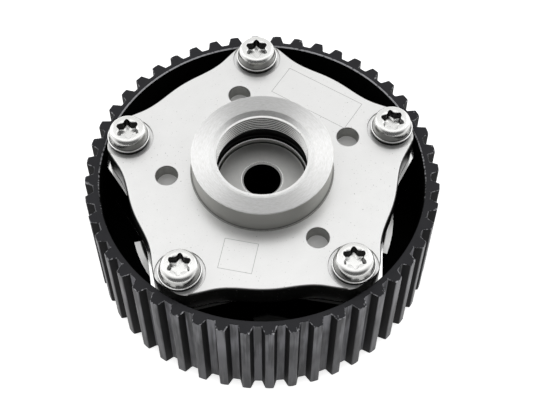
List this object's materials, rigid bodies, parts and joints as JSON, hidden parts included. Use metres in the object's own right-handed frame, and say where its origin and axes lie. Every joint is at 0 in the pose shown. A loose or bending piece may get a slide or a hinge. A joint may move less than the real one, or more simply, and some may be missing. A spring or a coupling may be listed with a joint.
{
  "type": "cam phaser",
  "caption": "Vane-type cam phaser in a toothed belt pulley: a lobed cover with a raised threaded boss, screwed into a deep ring, and a rotor that turns inside.",
  "frame": {"origin": "centre of the pulley's rear face, on the axis of rotation", "axes": "+Z along the axis of rotation towards the front cover's boss; +Y towards one screw lobe and one tooth"},
  "size_m": [0.1208, 0.1208, 0.0559],
  "materials": {
    "pulley_steel": "black steam-oxidised sintered steel",
    "stator_alloy": "bright machined light alloy",
    "rear_cover_alloy": "bright machined light alloy",
    "cover_alloy": "satin die-cast light alloy, boss top turned",
    "seal_rubber": "black moulded rubber",
    "seal_plastic": "dark wear-resistant plastic",
    "rotor_steel": "ground sintered steel",
    "screw_steel": "bright zinc plate",
    "washer_steel": "bright zinc plate",
    "leaf_steel": "rolled spring strip",
    "spring_wire": "drawn spring wire",
    "pin_steel": "hardened and ground",
    "bush_steel": "hardened and ground",
    "dowel_steel": "ground"
  },
  "bodies": {
    "housing": {"pulley": "pulley_steel", "stator_housing": "stator_alloy", "rear_cover": "rear_cover_alloy", "front_cover": "cover_alloy", "cover_screw_1": "screw_steel", "cover_screw_2": "screw_steel", "cover_screw_3": "screw_steel", "cover_screw_4": "screw_steel", "cover_screw_5": "screw_steel", "screw_washer_1": "washer_steel", "screw_washer_2": "washer_steel", "screw_washer_3": "washer_steel", "screw_washer_4": "washer_steel", "screw_washer_5": "washer_steel", "shoe_seal_1": "seal_plastic", "shoe_seal_2": "seal_plastic", "shoe_seal_3": "seal_plastic", "shoe_seal_4": "seal_plastic", "shoe_seal_5": "seal_plastic", "shoe_seal_spring_1": "leaf_steel", "shoe_seal_spring_2": "leaf_steel", "shoe_seal_spring_3": "leaf_steel", "shoe_seal_spring_4": "leaf_steel", "shoe_seal_spring_5": "leaf_steel", "front_housing_seal": "seal_rubber", "rear_housing_seal": "seal_rubber", "rotor_nose_seal": "seal_rubber", "locating_dowel": "dowel_steel", "lock_pin_bush": "bush_steel"},
    "rotor": {"rotor": "rotor_steel", "vane_seal_1": "seal_plastic", "vane_seal_2": "seal_plastic", "vane_seal_3": "seal_plastic", "vane_seal_4": "seal_plastic", "vane_seal_5": "seal_plastic", "vane_seal_spring_1": "leaf_steel", "vane_seal_spring_2": "leaf_steel", "vane_seal_spring_3": "leaf_steel", "vane_seal_spring_4": "leaf_steel", "vane_seal_spring_5": "leaf_steel", "lock_pin_spring": "spring_wire", "lock_pin_spring_seat": "seal_plastic"},
    "lock_pin": {"lock_pin": "pin_steel"}
  },
  "joints": [
    {"name": "rotor_turn", "type": "hinge", "parent": "housing", "child": "rotor", "pos_m": [0, 0, 0], "axis": [0, 0, -1], "range_deg": [0, 23]},
    {"name": "lock_pin_slide", "type": "slide", "parent": "rotor", "child": "lock_pin", "axis": [0, 0, 1], "range_m": [0, 0.003], "stiffness_N_per_m": 400, "springref_m": -0.004, "deforming": ["lock_pin_spring"]}
  ]
}
